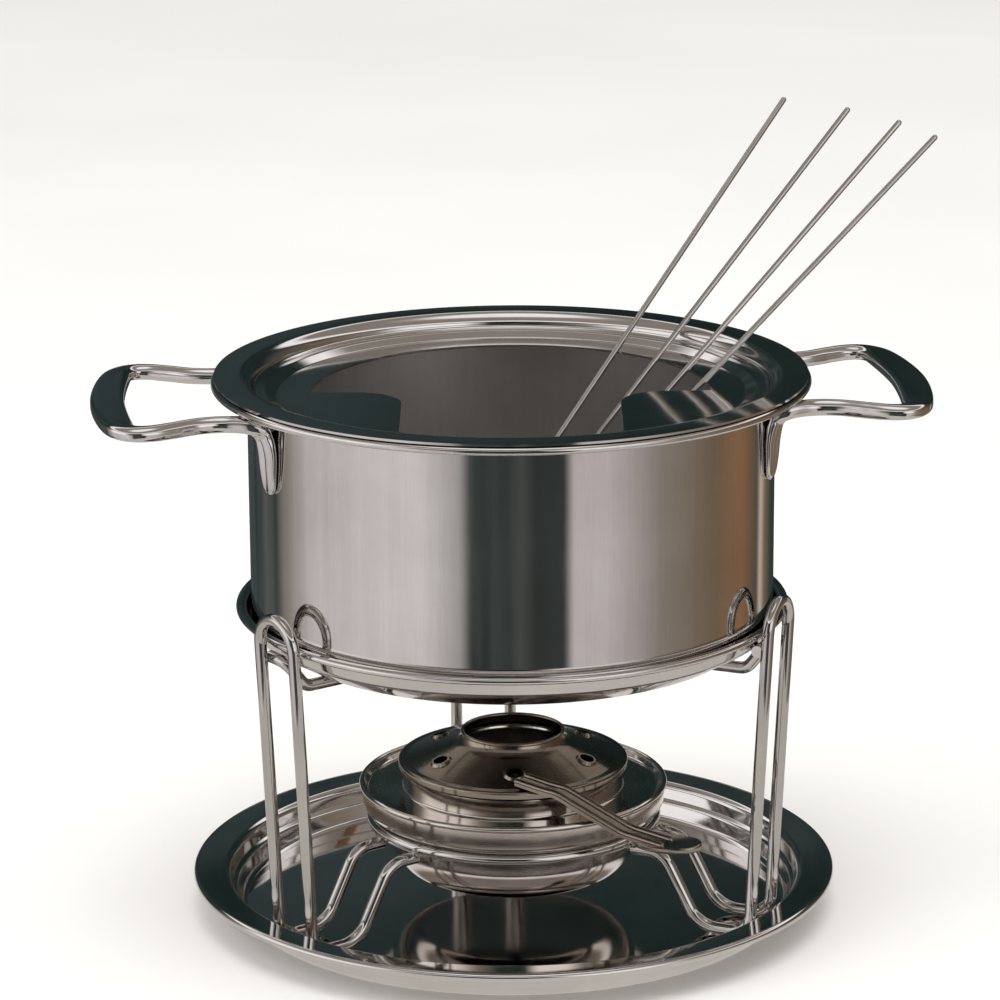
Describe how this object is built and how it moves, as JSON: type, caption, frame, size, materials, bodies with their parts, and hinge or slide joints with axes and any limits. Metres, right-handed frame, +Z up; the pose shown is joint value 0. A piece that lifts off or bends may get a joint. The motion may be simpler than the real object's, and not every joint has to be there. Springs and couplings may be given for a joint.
{
  "type": "fondue set",
  "caption": "Polished steel fondue set: two-handled pot with a fork ring and resting forks, on a wire stand with a spirit burner and a round drip tray.",
  "frame": {"origin": "middle of the tray's underside, on the surface that the set stands on", "axes": "+Z up; the pot's handles lie near the X axis, and -Y is the side that the regulator handle points towards"},
  "size_m": [0.2904, 0.2264, 0.2639],
  "materials": {
    "tray_steel": "mirror-polished stainless steel",
    "wire_steel": "polished stainless wire",
    "dish_steel": "mirror-polished stainless steel",
    "pot_steel": "polished outside, brushed inside",
    "base_steel": "satin",
    "handle_steel": "polished cast stainless steel",
    "ring_steel": "mirror-polished stainless steel",
    "fork_steel": "polished stainless steel",
    "burner_steel": "polished, a little dulled by heat",
    "cap_steel": "heat-darkened polished steel",
    "wadding": "pressed mineral fibre",
    "gauze": "woven wire, matt"
  },
  "bodies": {
    "tray": {"drip_tray": "tray_steel"},
    "stand": {"burner_ring": "wire_steel", "support_dish": "dish_steel", "leg_front_left": "wire_steel", "strut_front_left": "wire_steel", "leg_front_right": "wire_steel", "strut_front_right": "wire_steel", "leg_back": "wire_steel", "strut_back": "wire_steel"},
    "burner": {"burner_drum": "burner_steel", "burner_bowl": "burner_steel", "fuel_cup": "burner_steel", "absorbent_wadding": "wadding", "wick_gauze": "gauze", "gauze_ring": "gauze", "shutter_cone": "burner_steel"},
    "regulator": {"regulator_cap": "cap_steel", "regulator_handle": "cap_steel"},
    "pot": {"pot_body": "pot_steel", "pot_base_disc": "base_steel", "handle_right": "handle_steel", "handle_left": "handle_steel"},
    "ring": {"fork_ring": "ring_steel"},
    "fork_1_body": {"fork_1": "fork_steel"},
    "fork_2_body": {"fork_2": "fork_steel"},
    "fork_3_body": {"fork_3": "fork_steel"},
    "fork_4_body": {"fork_4": "fork_steel"}
  },
  "joints": [
    {"name": "stand_lift", "type": "slide", "parent": "tray", "child": "stand", "axis": [0, 0, 1], "range_m": [0, 0.12]},
    {"name": "burner_lift", "type": "slide", "parent": "stand", "child": "burner", "axis": [0, 0, 1], "range_m": [0, 0.026]},
    {"name": "regulator_turn", "type": "hinge", "parent": "burner", "child": "regulator", "pos_m": [0, 0, 0.055], "axis": [0, 0, -1], "range_deg": [0, 30]},
    {"name": "pot_lift", "type": "slide", "parent": "stand", "child": "pot", "axis": [0, 0, 1], "range_m": [0, 0.15]},
    {"name": "ring_lift", "type": "slide", "parent": "pot", "child": "ring", "axis": [0, 0, 1], "range_m": [0, 0.06]},
    {"name": "fork_1_pull", "type": "slide", "parent": "ring", "child": "fork_1_body", "axis": [0.6915, 0.2381, 0.682], "range_m": [0, 0.16]},
    {"name": "fork_2_pull", "type": "slide", "parent": "ring", "child": "fork_2_body", "axis": [0.6516, 0.332, 0.682], "range_m": [0, 0.16]},
    {"name": "fork_3_pull", "type": "slide", "parent": "ring", "child": "fork_3_body", "axis": [0.5991, 0.4195, 0.682], "range_m": [0, 0.16]},
    {"name": "fork_4_pull", "type": "slide", "parent": "ring", "child": "fork_4_body", "axis": [0.5349, 0.4988, 0.682], "range_m": [0, 0.16]}
  ]
}
